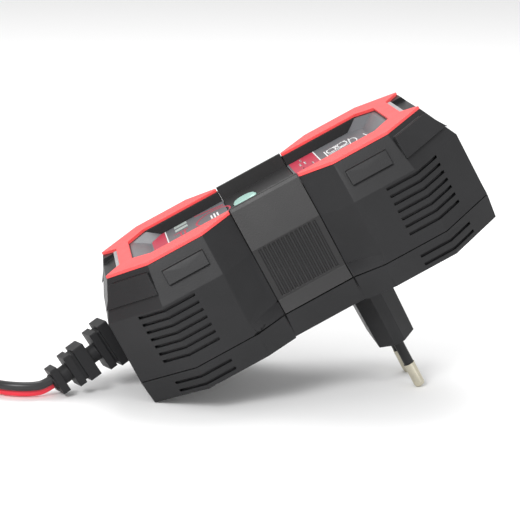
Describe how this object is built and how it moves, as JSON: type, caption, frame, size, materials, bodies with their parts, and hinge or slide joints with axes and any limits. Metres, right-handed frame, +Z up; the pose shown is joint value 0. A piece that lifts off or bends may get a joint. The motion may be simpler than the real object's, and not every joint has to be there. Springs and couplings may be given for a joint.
{
  "type": "car battery charger",
  "caption": "Plug-in car battery charger: faceted black housing with red frames and a mode button, a flat two-pin mains plug underneath, and a coiled output lead with battery clamps.",
  "frame": {"origin": "on the table under the middle of the charger's box, measured without the free lead and its clamps", "axes": "+Z up, +X along the charger from its lead end to its plug end, -Y towards the viewer"},
  "size_m": [0.3947, 0.073, 0.1022],
  "materials": {
    "housing_black": "fine-grained black ABS",
    "band_black": "fine-grained black ABS with moulded ribs",
    "red_frame": "satin red plastic",
    "trim_grey": "satin grey plastic",
    "label_print": "printed film, grey with red fields",
    "button_mint": "translucent mint plastic",
    "nickel_plate": "nickel-plated brass",
    "sleeve_black": "insulating sleeve",
    "circuit_board": "fibreglass board",
    "screw_steel": "zinc-plated steel",
    "ferrite": "sintered ferrite",
    "copper": "bare copper",
    "capacitor_sleeve": "shrink sleeve",
    "heat_sink": "extruded aluminium",
    "chip_black": "moulded epoxy",
    "fuse_glass": "glass tube fuse",
    "terminal_green": "terminal block",
    "led_lens": "clear epoxy lens",
    "relief_black": "soft PVC",
    "lead_black": "PVC insulation",
    "lead_red": "PVC insulation",
    "tie_fabric": "hook-and-loop strap",
    "clamp_red": "moulded polypropylene",
    "clamp_black": "moulded polypropylene",
    "spring_steel": "spring steel wire"
  },
  "bodies": {
    "root": {"upper_housing": "housing_black", "lower_housing": "housing_black", "centre_band": "band_black", "red_frame_left": "red_frame", "red_frame_right": "red_frame", "end_trim_strips": "trim_grey", "label_panel_left": "label_print", "label_panel_right": "label_print", "plug_block": "housing_black", "plug_pins": "nickel_plate", "pin_sleeves": "sleeve_black", "main_board": "circuit_board", "display_board": "circuit_board", "board_screws": "screw_steel", "housing_screws": "screw_steel", "transformer_core": "ferrite", "transformer_winding": "copper", "bulk_capacitor": "capacitor_sleeve", "output_capacitors": "capacitor_sleeve", "heat_sink": "heat_sink", "power_transistors": "chip_black", "mains_fuse": "fuse_glass", "filter_choke": "copper", "controller_chip": "chip_black", "output_terminal": "terminal_green", "inner_output_wires": "lead_red", "mains_leads": "copper", "status_leds": "led_lens", "mode_switch": "chip_black", "strain_relief": "relief_black", "output_lead": "lead_black", "clamp_lead": "lead_black", "lead_coil": "lead_black", "coil_tie": "tie_fabric", "lead_splitter": "relief_black", "red_tail": "lead_red", "black_tail": "lead_black", "red_clamp_fixed_jaw": "clamp_red", "red_clamp_pivot_pin": "screw_steel", "red_clamp_spring": "spring_steel", "red_clamp_fixed_contact": "copper", "black_clamp_fixed_jaw": "clamp_black", "black_clamp_pivot_pin": "screw_steel", "black_clamp_spring": "spring_steel", "black_clamp_fixed_contact": "copper"},
    "mode_button": {"mode_button": "button_mint"},
    "red_clamp_jaw": {"red_clamp_moving_jaw": "clamp_red", "red_clamp_moving_contact": "copper"},
    "black_clamp_jaw": {"black_clamp_moving_jaw": "clamp_black", "black_clamp_moving_contact": "copper"}
  },
  "joints": [
    {"name": "mode_press", "type": "slide", "parent": "root", "child": "mode_button", "axis": [0.4756, 0, -0.8796], "range_m": [0, 0.0006], "stiffness_N_per_m": 400, "springref_m": -0.0006},
    {"name": "red_clamp_open", "type": "hinge", "parent": "root", "child": "red_clamp_jaw", "pos_m": [-0.2792, 0.0195, 0.007], "axis": [0, 0, -1], "range_deg": [0, 28], "stiffness_Nm_per_rad": 1.2, "springref_deg": -14.32, "deforming": ["red_clamp_spring"]},
    {"name": "black_clamp_open", "type": "hinge", "parent": "root", "child": "black_clamp_jaw", "pos_m": [-0.2792, -0.0195, 0.007], "axis": [0, 0, 1], "range_deg": [0, 28], "stiffness_Nm_per_rad": 1.2, "springref_deg": -14.32, "deforming": ["black_clamp_spring"]}
  ]
}
